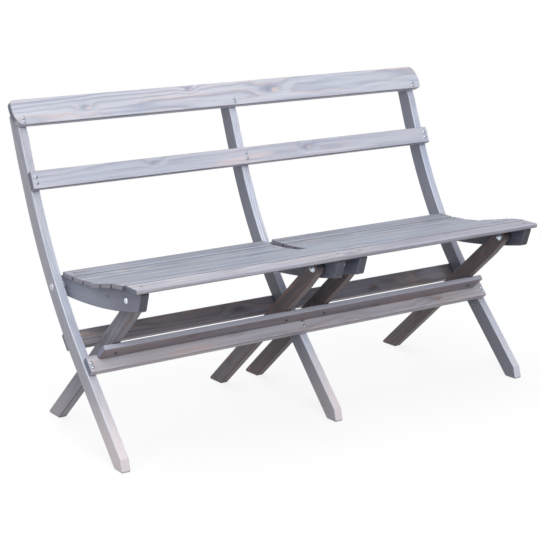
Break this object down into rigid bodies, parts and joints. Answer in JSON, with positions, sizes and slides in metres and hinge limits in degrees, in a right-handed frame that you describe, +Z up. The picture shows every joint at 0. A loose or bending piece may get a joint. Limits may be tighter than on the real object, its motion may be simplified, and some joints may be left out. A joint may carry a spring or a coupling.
{
  "type": "folding garden bench",
  "caption": "Folding slatted wooden garden bench for two, with curved legs that run up into the back and a dished seat that hinges up on crossed short legs.",
  "frame": {"origin": "on the floor, under the middle of the unfolded bench's bounding box", "axes": "+X along the bench to the sitter's left, -Y the way the sitter faces, +Z up"},
  "size_m": [1.23, 0.5788, 0.7967],
  "materials": {
    "stained_pine": "grey see-through stain on planed pine, satin",
    "zinc_fasteners": "bright zinc plate"
  },
  "bodies": {
    "back_frame": {"front_rail": "stained_pine", "front_rail_screws": "zinc_fasteners", "left_long_leg": "stained_pine", "left_seat_pivot_bolt": "zinc_fasteners", "mid_rail": "stained_pine", "mid_rail_screws": "zinc_fasteners", "middle_long_leg": "stained_pine", "middle_seat_pivot_bolt": "zinc_fasteners", "rear_stretcher": "stained_pine", "rear_stretcher_screws": "zinc_fasteners", "right_long_leg": "stained_pine", "right_seat_pivot_bolt": "zinc_fasteners", "seat_pivot_nuts": "zinc_fasteners", "seat_pivot_spacers": "zinc_fasteners", "seat_pivot_washers": "zinc_fasteners", "top_rail": "stained_pine", "top_rail_screws": "zinc_fasteners"},
    "seat": {"left_inner_side_rail": "stained_pine", "left_outer_side_rail": "stained_pine", "left_slat_1": "stained_pine", "left_slat_2": "stained_pine", "left_slat_3": "stained_pine", "right_inner_side_rail": "stained_pine", "right_outer_side_rail": "stained_pine", "right_slat_1": "stained_pine", "right_slat_2": "stained_pine", "right_slat_3": "stained_pine", "slat_4": "stained_pine", "slat_5": "stained_pine", "slat_6": "stained_pine", "slat_7": "stained_pine", "slat_screws": "zinc_fasteners"},
    "short_leg_frame": {"left_inner_short_leg": "stained_pine", "left_outer_short_leg": "stained_pine", "right_inner_short_leg": "stained_pine", "right_outer_short_leg": "stained_pine", "short_leg_pivot_bolts": "zinc_fasteners", "short_leg_pivot_nuts": "zinc_fasteners", "short_leg_pivot_spacers": "zinc_fasteners", "short_leg_pivot_washers": "zinc_fasteners", "stop_bar": "stained_pine", "stop_bar_screws": "zinc_fasteners"}
  },
  "joints": [
    {"name": "seat_fold", "type": "hinge", "parent": "back_frame", "child": "seat", "pos_m": [0, 0.09912, 0.36893], "axis": [-1, 0, 0], "range_deg": [0, 93.5]},
    {"name": "short_leg_fold", "type": "hinge", "parent": "seat", "child": "short_leg_frame", "pos_m": [0, -0.21376, 0.393], "axis": [1, 0, 0], "range_deg": [0, 24.23]}
  ],
  "couplings": [
    {"joint": "short_leg_fold", "follows": "seat_fold", "ratio": 0.259}
  ]
}
